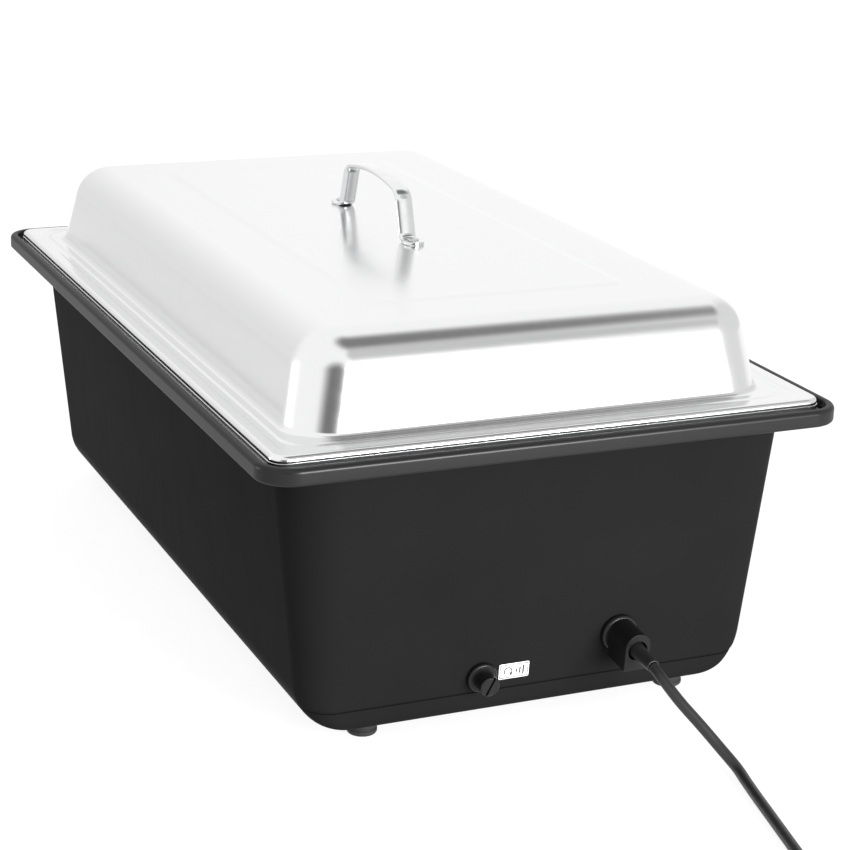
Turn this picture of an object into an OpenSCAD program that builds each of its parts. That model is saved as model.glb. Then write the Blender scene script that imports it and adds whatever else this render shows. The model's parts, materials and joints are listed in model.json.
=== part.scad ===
// Electric steam table unit for one full-size food pan: a tapered black tub with a water
// tank, a heated tank floor, a food pan, a domed lid and a mains lead.
// X runs along the tub (the cord end is +X), Y across it, Z up. Z = 0 is under the feet.

/* [Housing] */
// Length over the rim
rim_l = 556; // [556:2:580]
// Width over the rim
rim_w = 342; // [342:2:360]
// Corner radius of the rim
rim_r = 20; // [16:1:24]
// Height of the rim's outer face
rim_t = 9.5; // [9:0.5:12]
// Width of the raised lip round the rim
lip_w = 5; // [4:0.5:5]
// Height of the tub from its floor to the underside of the rim
body_h = 159; // [155:1:165]
// How far the rim overhangs the end walls
end_overhang = 17; // [16:0.5:17]
// How far the rim overhangs the long walls
side_overhang = 20; // [19:0.5:20]
// Inward slope of the tub wall, in mm per mm of height
taper = 0.1; // [0.09:0.01:0.1]
// Thickness of the moulded wall
wall = 3; // [2.5:0.5:3]
// Radius of the tub's upright corners under the rim
corner_r = 32; // [30:1:36]
// Radius of the bottom edge of the end walls
end_base_r = 9; // [7:1:9]
// Radius of the bottom edge of the long walls
side_base_r = 26; // [22:1:27]
// Height of the moulded ledge in the end walls above the tub's floor
ledge_h = 14.5; // [13:0.5:16]
// Depth of the moulded ledge
ledge_in = 0.7; // [0.4:0.1:1]

/* [Feet] */
// Height of a foot
foot_h = 7; // [7:1:10]
// Distance of the feet from the middle, along the tub
foot_x = 227.5; // [226:0.5:227.5]
// Distance of the feet from the middle, across the tub
foot_y = 96; // [92:1:98]

/* [Pan and lid] */
// Length of the food pan's flange
pan_l = 530; // [526:1:530]
// Width of the food pan's flange
pan_w = 325; // [321:1:325]
// Depth of the food pan
pan_depth = 65; // [40:5:65]
// Thickness of the pressed steel sheet
sheet = 0.8; // [0.7:0.1:1]
// Height of the lid above the pan's flange
lid_h = 55.8; // [50:0.1:80]
// Height of the lid's turned-down edge
hem_h = 4.3; // [4:0.1:5]
// Radius round the top of the lid
lid_r = 24; // [16:1:26]
// Height of the handle's centreline above the lid
handle_h = 33.2; // [33:0.1:40]
// Width of the handle strap
strap_w = 10.5; // [10:0.5:14]
// Thickness of the handle strap
strap_t = 2.5; // [2:0.1:3]

/* [Cord end] */
// Position of the reset cap across the tub
reset_y = -34; // [-40:1:-28]
// Height of the reset cap
reset_z = 32; // [31:1:34]
// Position of the cord gland across the tub
gland_y = 49.5; // [46:0.5:56]
// Height of the cord gland
gland_z = 47.5; // [46:0.5:49]
// Diameter of the mains lead
cord_d = 6.2; // [6.2:0.1:6.4]

/* [Control end] */
// Height of the knob and the pilot lamp
control_z = 47; // [45:1:48]
// Position of the pilot lamp across the tub
lamp_y = 70; // [60:1:80]
// Diameter of the knob
knob_d = 44; // [36:1:48]

/* [Hidden] */

$fn = 48;
steps = 7;  // facets in each quarter of a pressed or moulded corner
eps = 1;  // how far a cutter runs past a face

// Levels
floor_z = foot_h;
rim_z = floor_z + body_h;
rim_top = rim_z + rim_t;
shelf_z = rim_z + 2.6;
gasket_t = 0.6;
pan_flange_h = 4;
tank_top = shelf_z + gasket_t + sheet;
pan_top = tank_top + pan_flange_h;
lid_top = pan_top + lid_h;
flange_top = pan_top + hem_h;
tank_floor_z = floor_z + 59;
spreader_t = 3;
spreader_z = tank_floor_z - spreader_t;
tilt = atan(taper);

// Tub outline at a height: how far the draft has moved the outer wall in, and the end walls' X
function draft(z) = taper * (rim_z - z);
function wall_x(z) = rim_l / 2 - end_overhang - draft(z);

// Arc of 2-D points round a centre
function arc(cx, cz, r, a0, a1, n) = [
    for (i = [0:n]) [
        cx + r * cos(a0 + (a1 - a0) * i / n),
        cz + r * sin(a0 + (a1 - a0) * i / n)
    ]
];

// Rounded rectangle of points at one height, counter-clockwise from above
function ring(l, w, r, z) = [
    for (q = [[1, 1, 0], [-1, 1, 90], [-1, -1, 180], [1, -1, 270]])
    for (i = [0:steps]) [
        q[0] * (l / 2 - r) + r * cos(q[2] + 90 * i / steps),
        q[1] * (w / 2 - r) + r * sin(q[2] + 90 * i / steps),
        z
    ]
];

// Rings for a profile of [inset from the outline, height, corner radius]
function rings(l, w, profile) = [
    for (p = profile) ring(l - 2 * p[0], w - 2 * p[0], max(p[2], 0.5), p[1])
];

// Arc of profile points: an inset that grows by 1 takes 1 off the corner radius
function round_edge(points, at, r) = [for (p = points) [p[0], p[1], r - (p[0] - at)]];

// Closed skin through a list of rings. Without closed, its first and last rings are capped.
module skin(loops, closed = false) {
    n = len(loops[0]);
    m = len(loops);
    sides = [
        for (k = [0:closed ? m - 1 : m - 2], i = [0:n - 1])
        let (j = (i + 1) % n, up = (k + 1) % m * n)
        each [[k * n + i, up + i, up + j], [k * n + i, up + j, k * n + j]]
    ];
    caps = closed ? [] : [
        [for (i = [0:n - 1]) i],
        [for (i = [n - 1:-1:0]) (m - 1) * n + i]
    ];
    polyhedron([for (loop = loops) each loop], concat(sides, caps));
}

// Tube of eight sides along a list of points
function unit(v) = v / norm(v);
function heading(path, i) = unit(
    path[min(i + 1, len(path) - 1)] - path[max(i - 1, 0)]
);
function tube_ring(centre, dir, r) =
    let (u = unit(cross(abs(dir[2]) > 0.9 ? [0, 1, 0] : [0, 0, 1], dir)), v = cross(dir, u))
    [for (a = [22.5:45:360]) centre + r * (cos(a) * u + sin(a) * v)];

module tube(path, d) {
    skin([for (i = [0:len(path) - 1]) tube_ring(path[i], heading(path, i), d / 2)]);
}

// Flat plate with rounded corners
module slab(l, w, r, h) {
    linear_extrude(h) polygon([for (p = ring(l, w, r, 0)) [p[0], p[1]]]);
}

module hex(across, h) {
    cylinder(d = across / cos(30), h = h, $fn = 6);
}

// Frames on the sloping end walls: local Z leaves the wall, Z = 0 is its outer face
module on_cord_wall(y, z) {
    translate([wall_x(z), y, z]) rotate([0, 90 + tilt, 0]) children();
}

module on_control_wall(y, z) {
    translate([-wall_x(z), y, z]) rotate([0, -90 - tilt, 0]) children();
}

// ---- Housing ----

ledge_z = floor_z + ledge_h;
opening_l = 400;
opening_w = 180;
plate_l = 432;
plate_w = 212;
plate_t = 1.2;
screw_r = 1.65;
screw_spots = [
    for (x = [-1, 0, 1], y = [-1, 0, 1])
    if (x != 0 || y != 0) [x * 208, y * 98]
];
foot_spots = [[-1, 1], [-1, -1], [1, 1], [1, -1]];
boss_r = 8;
boss_h = 10;

// Sizes of what passes through the end walls
gland_r = 8;
bush_r = 4;
shaft_r = 3;
collar_r = 5;
lamp_r = 6;
fixing_y = 14;
fixing_r = 2;

// How far a rounded bottom edge of radius r has curved in at height h above its lowest point
function edge_in(r, h) = h < r ? r - sqrt(max(h * (2 * r - h), 0)) : 0;

// Ring of the tub wall at height z, for a face t inside the outer one. Its corners keep their
// centres as the draft moves them in, and tighten where the bottom edges curve in.
function wall_ring(z, t = 0, end_step = 0) =
    let (
        end_in = edge_in(end_base_r - t, z - floor_z - t),
        side_in = edge_in(side_base_r - t, z - floor_z - t),
        tighten = 0.4
    )
    ring(
        2 * (wall_x(z) - t - end_step - end_in),
        rim_w - 2 * (side_overhang + draft(z) + t + side_in),
        max(corner_r - draft(z) - t - tighten * side_in, 2),
        z
    );

// Heights that lie closer together towards the bottom of a rounded edge

function levels(from, r, n) = [for (i = [0:n]) from + r * pow(i / n, 2)];

module housing() {
    lip_edge = 2.5;
    lip_inner_edge = 1.2;
    skirt_edge = 1.5;
    low = levels(floor_z, side_base_r, 9);
    inner_low = levels(floor_z + wall, side_base_r - wall, 7);
    rim_profile = concat(
        [
            [skirt_edge, rim_z, rim_r - skirt_edge],
            [0, rim_z + skirt_edge, rim_r]
        ],
        round_edge(arc(lip_edge, rim_top - lip_edge, lip_edge, 180, 90, 3), 0, rim_r),
        [
            [lip_w - lip_inner_edge, rim_top, rim_r - lip_w + lip_inner_edge],
            [lip_w, rim_top - lip_inner_edge, rim_r - lip_w],
            [lip_w, shelf_z, rim_r - lip_w]
        ]
    );
    color("#232325") difference() {
        union() {
            skin(concat(
                [for (z = low) if (z < ledge_z) wall_ring(z, end_step = ledge_in)],
                [wall_ring(ledge_z, end_step = ledge_in), wall_ring(ledge_z + ledge_in)],
                [for (z = low) if (z > ledge_z + ledge_in) wall_ring(z)],
                [wall_ring(rim_z)],
                rings(rim_l, rim_w, rim_profile),
                [wall_ring(shelf_z, wall)],
                [for (i = [len(inner_low) - 1:-1:0]) wall_ring(inner_low[i], wall)]
            ));
            for (s = foot_spots)
                translate([s[0] * foot_x, s[1] * foot_y, floor_z]) cylinder(r = boss_r, h = boss_h);
        }
        translate([-opening_l / 2, -opening_w / 2, floor_z - eps])
            cube([opening_l, opening_w, wall + 2 * eps]);
        for (p = screw_spots)
            translate([p[0], p[1], floor_z - eps]) cylinder(r = screw_r, h = wall + 2 * eps);
        for (s = foot_spots)
            translate([s[0] * foot_x, s[1] * foot_y, floor_z - eps])
                cylinder(r = 2.1, h = boss_h + 2 * eps);
        on_cord_wall(gland_y, gland_z) wall_hole(gland_r + 0.2);
        on_cord_wall(reset_y, reset_z) wall_hole(bush_r + 0.3);
        on_control_wall(0, control_z) {
            wall_hole(collar_r);
            for (y = [-fixing_y, fixing_y])
                translate([0, y, 0]) wall_hole(fixing_r + 0.1);
        }
        on_control_wall(lamp_y, control_z) wall_hole(lamp_r);
    }
}

module wall_hole(r) {
    translate([0, 0, -wall - 2 * eps]) cylinder(r = r, h = wall + 4 * eps);
}

module base_plate() {
    slot_l = 34;
    slot_w = 3;
    color("#8f9294") translate([0, 0, floor_z - plate_t]) difference() {
        slab(plate_l, plate_w, 10, plate_t);
        for (p = screw_spots)
            translate([p[0], p[1], -eps]) cylinder(r = screw_r + 0.4, h = plate_t + 2 * eps);
        for (x = [-100, 0], i = [-4:4])
            translate([x - slot_l / 2, i * 9 - slot_w / 2, -eps])
                cube([slot_l, slot_w, plate_t + 2 * eps]);
    }
}

module base_screws() {
    color("#c8cacc") for (p = screw_spots)
        translate([p[0], p[1], floor_z - plate_t - 2]) {
            cylinder(r = 3.4, h = 2);
            cylinder(r = screw_r - 0.05, h = 8);
        }
}

// ---- Feet ----

module foot(sx, sy) {
    foot_r = 8.5;
    waist_r = 7.6;
    color("#2a2a2a") translate([sx * foot_x, sy * foot_y, 0])
        rotate_extrude() polygon([
            [4.2, 0], [waist_r, 0], [foot_r, 1], [foot_r, 2.6], [waist_r, 3.2], [waist_r, 4],
            [foot_r, 4.6], [foot_r, foot_h], [2.1, foot_h], [2.1, 3.4], [4.2, 3.4]
        ]);
}

module foot_front_left() { foot(-1, 1); }
module foot_front_right() { foot(-1, -1); }
module foot_back_left() { foot(1, 1); }
module foot_back_right() { foot(1, -1); }

module foot_screws() {
    color("#c8cacc") for (s = foot_spots)
        translate([s[0] * foot_x, s[1] * foot_y, 1]) {
            cylinder(r = 3.6, h = 2.4);
            cylinder(r = 2, h = 14);
        }
}

// ---- Water tank and its heater ----

tank_l = rim_l - 12;
tank_w = rim_w - 13;
tank_neck = 19;
tank_r = 33;
tank_edge = 12;

// How far the tank's outer wall stands in from its flange's outline
function tank_in(z) = tank_neck + taper * (tank_top - sheet - z);

module tank_gasket() {
    outer = 2;
    inner = 14;
    z1 = shelf_z + gasket_t;
    color("#55585a") skin(rings(tank_l, tank_w, [
        [outer, shelf_z, 12], [outer, z1, 12], [inner, z1, 28], [inner, shelf_z, 28]
    ]), closed = true);
}

module water_tank() {
    under = tank_top - sheet;
    bend_z = under - 3.2;
    edge_z = tank_floor_z + tank_edge;
    edge_in = tank_in(edge_z) + tank_edge / cos(tilt);
    color("#b9bcbf") skin(rings(tank_l, tank_w, concat(
        round_edge(
            arc(edge_in, edge_z, tank_edge, 270, 180 + tilt, 4), tank_in(edge_z), tank_r
        ),
        [
            [tank_in(bend_z), bend_z, tank_r], [tank_neck - 2.5, under, 31],
            [0, under, 14], [0, tank_top, 14], [tank_neck - 2.2, tank_top, 31],
            [tank_in(bend_z) + sheet, bend_z, tank_r - sheet]
        ],
        round_edge(
            arc(edge_in, edge_z, tank_edge - sheet, 180 + tilt, 270, 4),
            tank_in(edge_z) + sheet, tank_r - sheet
        )
    )));
}

spreader_l = 250;
spreader_w = 150;
element_r = 4;
element_z = spreader_z - element_r;
leg_y = 45;
leg_end = 138;
pin_end = 150;
bend_x = -105;
stud_r = 2.5;
stud_spots = [for (x = [-60, 60], y = [-58, 58]) [x, y]];
bar_t = 2;
bar_z = element_z - element_r - bar_t;
nut_h = 3;
shield_t = 0.8;
shield_z = bar_z - nut_h - shield_t;

module heat_spreader() {
    color("#cfd1d3") translate([0, 0, spreader_z]) slab(spreader_l, spreader_w, 8, spreader_t);
}

module heating_element() {
    color("#6d5f52") {
        for (y = [-leg_y, leg_y])
            translate([bend_x, y, element_z]) rotate([0, 90, 0]) {
                cylinder(r = element_r, h = leg_end - bend_x);
                cylinder(r = 1.5, h = pin_end - bend_x);
            }
        translate([bend_x, 0, element_z]) rotate([0, 0, 90])
            rotate_extrude(angle = 180) translate([leg_y, 0]) circle(r = element_r);
    }
}

module clamp_studs() {
    color("#c8cacc") for (p = stud_spots)
        translate([p[0], p[1], shield_z - 5]) cylinder(r = stud_r, h = spreader_z - shield_z + 5);
}

module element_clamps() {
    color("#b9bcbf") for (x = [-60, 60])
        difference() {
            translate([x - 7, -66, bar_z]) cube([14, 132, bar_t]);
            for (y = [-58, 58])
                translate([x, y, bar_z - eps]) cylinder(r = stud_r + 0.1, h = bar_t + 2 * eps);
        }
}

module clamp_nuts() {
    color("#c8cacc") for (p = stud_spots, z = [shield_z - nut_h, shield_z + shield_t])
        translate([p[0], p[1], z]) difference() {
            hex(8, nut_h);
            translate([0, 0, -eps]) cylinder(r = stud_r, h = nut_h + 2 * eps);
        }
}

module heat_shield() {
    shield_l = 270;
    shield_w = 180;
    side_h = 11;
    color("#cfd1d3") difference() {
        union() {
            translate([-shield_l / 2, -shield_w / 2, shield_z])
                cube([shield_l, shield_w, shield_t]);
            for (y = [-shield_w / 2, shield_w / 2 - shield_t])
                translate([-shield_l / 2, y, shield_z]) cube([shield_l, shield_t, side_h]);
        }
        for (p = stud_spots)
            translate([p[0], p[1], shield_z - eps])
                cylinder(r = stud_r + 0.1, h = shield_t + 2 * eps);
    }
}

bulb_r = 3;
bulb_y = 12;
bulb_z = spreader_z - bulb_r;
bulb_l = 70;
capillary_d = 1.8;

module thermostat_sensor() {
    color("#b87333") {
        translate([-bulb_l / 2, -bulb_y, bulb_z]) rotate([0, 90, 0])
            cylinder(r = bulb_r, h = bulb_l);
        tube([
            [-bulb_l / 2 + 1, -bulb_y, bulb_z], [-72, -12, 60], [-90, -12, 57.5], [-110, -12, 53.4],
            [-125, -12, 52.6], [-165, -12, 52.6], [-185, -11, 52], [-203, -10, 51],
            [-218.2, -10, 50]
        ], capillary_d);
    }
}

module limiter_sensor() {
    color("#b87333") {
        translate([-bulb_l / 2, bulb_y, bulb_z]) rotate([0, 90, 0])
            cylinder(r = bulb_r, h = bulb_l);
        tube([
            [bulb_l / 2 - 1, bulb_y, bulb_z], [90, 12, 60], [140, 10, 59],
            [160, 2, 56], [176, -10, 51], [192, -21, 48], [215.6, -29, 45]
        ], capillary_d);
    }
}

module sensor_clips() {
    color("#b9bcbf") for (x = [-25, 18])
        translate([x, 0, 0]) {
            translate([0, -22, bulb_z - bulb_r - 1.5]) cube([8, 44, 1.5]);
            for (y = [-22, 20.5])
                translate([0, y, bulb_z - bulb_r]) cube([8, 1.5, 2 * bulb_r]);
        }
}

// ---- Food pan ----

pan_neck = 19.5;
pan_slope = 0.125;
pan_r = 33;
pan_edge = 12;

function pan_in(z) = pan_neck + pan_slope * (pan_top - sheet - z);

module food_pan() {
    under = pan_top - sheet;
    bend_z = under - 3.2;
    edge_z = pan_top - pan_depth + pan_edge;
    lean = atan(pan_slope);
    edge_in = pan_in(edge_z) + pan_edge / cos(lean);
    turn = 1.2;
    color("#c4c7c9") skin(rings(pan_l, pan_w, concat(
        round_edge(
            arc(edge_in, edge_z, pan_edge, 270, 180 + lean, 4), pan_in(edge_z), pan_r
        ),
        [
            [pan_in(bend_z), bend_z, pan_r], [pan_neck - 2, under, 31],
            [turn, under, 8], [turn, tank_top, 8], [0, tank_top, 9],
            [0, pan_top - 0.4, 9], [0.4, pan_top, 8.6],
            [pan_neck - 1.7, pan_top, 31], [pan_in(bend_z) + sheet, bend_z, pan_r - sheet]
        ],
        round_edge(
            arc(edge_in, edge_z, pan_edge - sheet, 180 + lean, 270, 4),
            pan_in(edge_z) + sheet, pan_r - sheet
        )
    )));
}

// ---- Lid ----

dome_in = 20.5;
dome_slope = 0.2;
dome_lean = atan(dome_slope);
dome_r = 27;
rivet_x = 59;
rivet_r = 2;
panel_in = 84;
panel_h = 0.7;

// Profile of the lid, from the hem to its top, for a face that stands t inside the outer one
function lid_profile(t) =
    let (
        r = lid_r - t,
        top_z = lid_top - lid_r,
        touch_z = top_z + lid_r * sin(dome_lean),
        touch_in = dome_in + dome_slope * (touch_z - flange_top),
        centre_in = touch_in + lid_r * cos(dome_lean)
    )
    concat(
        [
            [t, pan_top, 9 - t], [t, flange_top - 1.5, 9 - t],
            [0.45 + t, flange_top - 0.45 - t * 0.7, 8.6 - t], [1.5 + t, flange_top - t, 7.5 - t],
            [8.5, flange_top - t, 13], [10.5, flange_top - 1 - t, 15],
            [17, flange_top - 1 - t, 24], [19.6 + t, flange_top - 0.2 - t, dome_r - t],
            [20.8 + t, flange_top + 1.6, dome_r - t]
        ],
        [
            for (p = arc(centre_in, top_z, r, 180 - dome_lean, 90, 6))
            [p[0], p[1], max(dome_r - t - (p[0] - touch_in - t), 5 - t)]
        ],
        [[panel_in, lid_top - t, 5], [panel_in + 3, lid_top + panel_h - t, 5]]
    );

module lid_shell() {
    outer = lid_profile(0);
    inner = lid_profile(sheet);
    count = len(inner);
    reversed = [for (i = [count - 1:-1:0]) inner[i]];
    color("#dcdedf") difference() {
        skin(rings(pan_l, pan_w, concat(reversed, outer)));
        for (x = [-rivet_x, rivet_x])
            translate([x, 0, lid_top - 3]) cylinder(r = rivet_r + 0.1, h = 6);
    }
}

// Handle: half of the strap's centreline as [x, height], from its tab to its crown
tab_x = 54;
foot_bend = 5;
leg_angle = 72;
shoulder_r = 10;
crown_angle = 12;

function handle_half() =
    let (
        z0 = strap_t / 2,
        foot = arc(-tab_x, z0 + foot_bend, foot_bend, 270, 270 + leg_angle, 4),
        knee = foot[len(foot) - 1],
        crown_x = function (leg) knee[0] + leg * cos(leg_angle)
            + shoulder_r * (sin(leg_angle) - sin(crown_angle)),
        crown_z = function (leg) knee[1] + leg * sin(leg_angle)
            + shoulder_r * (cos(crown_angle) - cos(leg_angle))
            - crown_x(leg) * (1 - cos(crown_angle)) / sin(crown_angle),
        leg = (handle_h - crown_z(0)) / (crown_z(1) - crown_z(0)),
        start = knee + leg * [cos(leg_angle), sin(leg_angle)],
        centre = start + shoulder_r * [sin(leg_angle), -cos(leg_angle)],
        crown_r = -crown_x(leg) / sin(crown_angle)
    )
    concat(
        [[-rivet_x, z0]], foot,
        arc(centre[0], centre[1], shoulder_r, 90 + leg_angle, 90 + crown_angle, 6),
        arc(0, handle_h - crown_r, crown_r, 90 + crown_angle * 0.75, 90, 3)
    );

function normal(path, i) =
    let (d = unit(path[min(i + 1, len(path) - 1)] - path[max(i - 1, 0)])) [-d[1], d[0]];

module lid_handle() {
    half = handle_half();
    n = len(half);
    path = concat(half, [for (i = [n - 2:-1:0]) [-half[i][0], half[i][1]]]);
    last = len(path) - 1;
    side = function (s) [for (i = [0:last]) path[i] + s * strap_t / 2 * normal(path, i)];
    upper = side(1);
    lower = side(-1);
    seat = lid_top + panel_h;
    color("#e6e7e8") difference() {
        union() {
            translate([0, strap_w / 2, seat]) rotate([90, 0, 0]) linear_extrude(strap_w)
                polygon(concat(upper, [for (i = [last:-1:0]) lower[i]]));
            for (x = [-rivet_x, rivet_x])
                translate([x, 0, seat]) cylinder(d = strap_w + 3, h = strap_t);
        }
        for (x = [-rivet_x, rivet_x])
            translate([x, 0, seat - eps]) cylinder(r = rivet_r + 0.1, h = strap_t + 2 * eps);
    }
}

module handle_rivets() {
    grip = sheet + strap_t;
    head_r = 3.6;
    head_h = 1.2;
    color("#d0d2d4") for (x = [-rivet_x, rivet_x])
        translate([x, 0, lid_top + panel_h - sheet]) rotate_extrude() polygon([
            [0, -head_h], [head_r - 0.8, -head_h], [head_r, 0], [rivet_r, 0], [rivet_r, grip],
            [head_r, grip], [head_r - 0.8, grip + head_h], [0, grip + head_h]
        ]);
}

// ---- Controls ----

thermo_d = 28;
shaft_in = 13;
shaft_out = 15;
dial_t = 0.8;
knob_z = 3.4;
knob_h = 18;
skirt_h = 5;

module thermostat() {
    color("#e3e1d8") on_control_wall(0, control_z) difference() {
        union() {
            translate([-15, -22, -wall - thermo_d]) cube([30, 44, thermo_d]);
            translate([0, 0, -wall]) cylinder(r = collar_r - 0.1, h = wall);
        }
        translate([0, 0, -shaft_in - eps]) cylinder(r = shaft_r + 0.05, h = shaft_in + 2 * eps);
        for (y = [-fixing_y, fixing_y])
            translate([0, y, -wall - 8]) cylinder(r = fixing_r, h = 8 + eps);
    }
}

module thermostat_screws() {
    color("#c8cacc") on_control_wall(0, control_z) for (y = [-fixing_y, fixing_y])
        translate([0, y, 0]) {
            translate([0, 0, -wall - 7]) cylinder(r = fixing_r, h = wall + 7 + dial_t);
            translate([0, 0, dial_t]) cylinder(r = 3.5, h = 1.8);
        }
}

module thermostat_shaft() {
    flat = 1.5;
    color("#c8cacc") on_control_wall(0, control_z) difference() {
        translate([0, 0, -shaft_in]) cylinder(r = shaft_r, h = shaft_in + shaft_out);
        translate([flat, -shaft_r, knob_z]) cube([shaft_r, 2 * shaft_r, shaft_out]);
    }
}

module knob() {
    grip_w = 11;
    top_r = knob_d / 2 - 3;
    color("#1c1c1e") on_control_wall(0, control_z) difference() {
        union() {
            translate([0, 0, knob_z]) cylinder(r = knob_d / 2, h = skirt_h);
            intersection() {
                translate([-knob_d / 2, -grip_w / 2, knob_z]) cube([knob_d, grip_w, knob_h]);
                translate([0, 0, knob_z]) cylinder(r = top_r, h = knob_h);
            }
        }
        difference() {
            translate([0, 0, knob_z - eps]) cylinder(r = shaft_r, h = shaft_out - knob_z + eps);
            translate([1.5, -shaft_r, knob_z]) cube([shaft_r, 2 * shaft_r, shaft_out]);
        }
    }
}

module dial_plate() {
    dial_r = 32;
    color("#d8dadb") on_control_wall(0, control_z) difference() {
        cylinder(r = dial_r, h = dial_t);
        translate([0, 0, -eps]) cylinder(r = collar_r, h = dial_t + 2 * eps);
        for (y = [-fixing_y, fixing_y])
            translate([0, y, -eps]) cylinder(r = fixing_r + 0.1, h = dial_t + 2 * eps);
    }
}

module lamp_body() {
    color("#1c1c1e") on_control_wall(lamp_y, control_z) difference() {
        union() {
            cylinder(r = 8.5, h = 3);
            translate([0, 0, -24]) cylinder(r = lamp_r - 0.1, h = 24 + eps);
        }
        translate([0, 0, 1]) cylinder(r = lamp_r, h = 3);
    }
}

module lamp_lens() {
    color("#e08a1e") on_control_wall(lamp_y, control_z) rotate_extrude() polygon(concat(
        [[0, 1], [lamp_r, 1], [lamp_r, 4]], arc(lamp_r - 2, 4, 2, 0, 90, 4), [[0, 6]]
    ));
}

module lamp_nut() {
    color("#3a3a3c") on_control_wall(lamp_y, control_z) translate([0, 0, -wall - 4])
        difference() {
            hex(17, 4);
            translate([0, 0, -eps]) cylinder(r = lamp_r - 0.1, h = 4 + 2 * eps);
        }
}

// ---- Reset of the temperature limiter ----

limiter_d = 30;
bush_out = 9;
button_r = 2;
button_in = 9;
button_out = 9.8;
button_run = 3;
nut_t = 3.5;
seal_t = 1.1;
cap_r = 5.75;
cap_out = 13;

module limiter() {
    body_up = 22;
    color("#e3e1d8") on_cord_wall(reset_y, reset_z) difference() {
        union() {
            translate([-body_up, -18, -wall - limiter_d]) cube([body_up + 4, 36, limiter_d]);
            translate([0, 0, -wall - eps]) cylinder(r = bush_r, h = wall + eps + bush_out);
        }
        translate([0, 0, -button_in - button_run])
            cylinder(r = button_r + 0.05, h = button_in + button_run + bush_out + eps);
    }
}

module reset_nut() {
    nut_r = 8.75;
    color("#2b2b2d") on_cord_wall(reset_y, reset_z) rotate_extrude() polygon([
        [bush_r, 0], [nut_r, 0], [nut_r, nut_t - 0.8], [nut_r - 0.8, nut_t], [bush_r, nut_t]
    ]);
}

module reset_button() {
    color("#b3261e") on_cord_wall(reset_y, reset_z) translate([0, 0, -button_in])
        cylinder(r = button_r, h = button_in + button_out);
}

module cap_seal() {
    color("#3a3a3a") on_cord_wall(reset_y, reset_z) translate([0, 0, nut_t]) difference() {
        cylinder(r = cap_r - 0.3, h = seal_t);
        translate([0, 0, -eps]) cylinder(r = bush_r + 0.1, h = seal_t + 2 * eps);
    }
}

module reset_cap() {
    cap_z = nut_t + seal_t;
    slot_w = 1.3;
    slot_deep = 1.6;
    color("#2b2b2d") on_cord_wall(reset_y, reset_z) difference() {
        rotate_extrude() polygon([
            [0, cap_z], [cap_r, cap_z], [cap_r, cap_out - 0.6], [cap_r - 0.6, cap_out],
            [0, cap_out]
        ]);
        translate([0, 0, cap_z - eps])
            cylinder(r = bush_r + 0.05, h = button_out + 0.6 - cap_z + eps);
        rotate([0, 0, -25]) translate([-cap_r - eps, -slot_w / 2, cap_out - slot_deep])
            cube([2 * (cap_r + eps), slot_w, slot_deep + eps]);
    }
}

module reset_label() {
    label_y = 20;
    color("#f4f4f2") on_cord_wall(reset_y + label_y, reset_z + 0.5)
        translate([-4.7, -9.2, 0]) cube([9.4, 18.4, 0.3]);
}

// ---- Wiring ----

block_x = 150;
block_y = 60;
block_l = 40;
block_w = 24;
block_h = 18;
wire_d = 2.4;

module terminal_block() {
    color("#e8e6de") translate([block_x - block_l / 2, block_y - block_w / 2, floor_z])
        difference() {
            cube([block_l, block_w, block_h]);
            for (i = [-1:1], y = [6, block_w - 6])
                translate([block_l / 2 + i * 12, y, block_h - 8]) cylinder(r = 2, h = 9);
        }
}

module earth_stud() {
    color("#c9a24b") translate([block_x, -20, floor_z]) {
        cylinder(r = stud_r, h = 14);
        cylinder(r = 6, h = 1);
        translate([0, 0, 4]) hex(8, 4);
    }
}

module internal_wires() {
    top = floor_z + block_h;
    color("#7a4a2b") {
        // limiter feed
        tube([[150, 48, 18], [150, 36, 18], [158, 14, 18], [180, -20, 20], [200, -37, 26],
              [214.8, -40, 36]], wire_d);
        // limiter to the heater's near pin
        tube([[215.3, -44, 41], [198, -48, 41], [180, -47, 43], [166, -45, 52], [157, -45, 57.5],
              [150, -45, element_z]], wire_d);
        // thermostat feed along the floor
        tube([[130, 62, 16], [110, 68, 14], [60, 78, 13], [-60, 78, 13], [-130, 60, 14],
              [-182, 28, 24], [-204, 14, 37], [-217.6, 12, 44]], wire_d);
        // thermostat to the heater's far pin
        tube([[-217.6, -16, 44], [-202, -30, 35], [-170, -60, 21], [-120, -80, 13], [60, -80, 13],
              [130, -50, 13], [176, 0, 28], [174, 30, 44], [162, 44, 54], [156, 45, 58],
              [150, 45, element_z]], wire_d);
        // pilot lamp
        tube([[-218.4, 18, 50], [-208, 30, 48], [-208, 56, 46], [-216, 68, 46],
              [-224.6, 70, 49.5]], wire_d);
        // earth
        tube([[138, 48, top - 8], [138, 36, 16], [140, 10, 14], [146, -10, 13],
              [148, -16, 13]], wire_d);
    }
}

// ---- Cord gland ----

flange_t = 4;
clamp_out = 24;
clamp_from = 8;
boot_r = 5.6;
boot_from = 9;
boot_out = 42;
stem_in = 15;

module supply_tail() {
    g = wall_x(gland_z);
    inner = [g, gland_y, gland_z] - stem_in * [cos(tilt), 0, -sin(tilt)];
    color("#2a2a2c") {
        on_cord_wall(gland_y, gland_z) translate([0, 0, -stem_in])
            cylinder(d = cord_d, h = stem_in + boot_from);
        tube([
            inner + 0.2 * [cos(tilt), 0, -sin(tilt)], inner - [8, 0, -0.6], [215, 51, 45],
            [202, 55, 36], [191, 58, 25], [180, 60, 18], [block_x + block_l / 2, 60, 16]
        ], cord_d - 0.4);
    }
}

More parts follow.
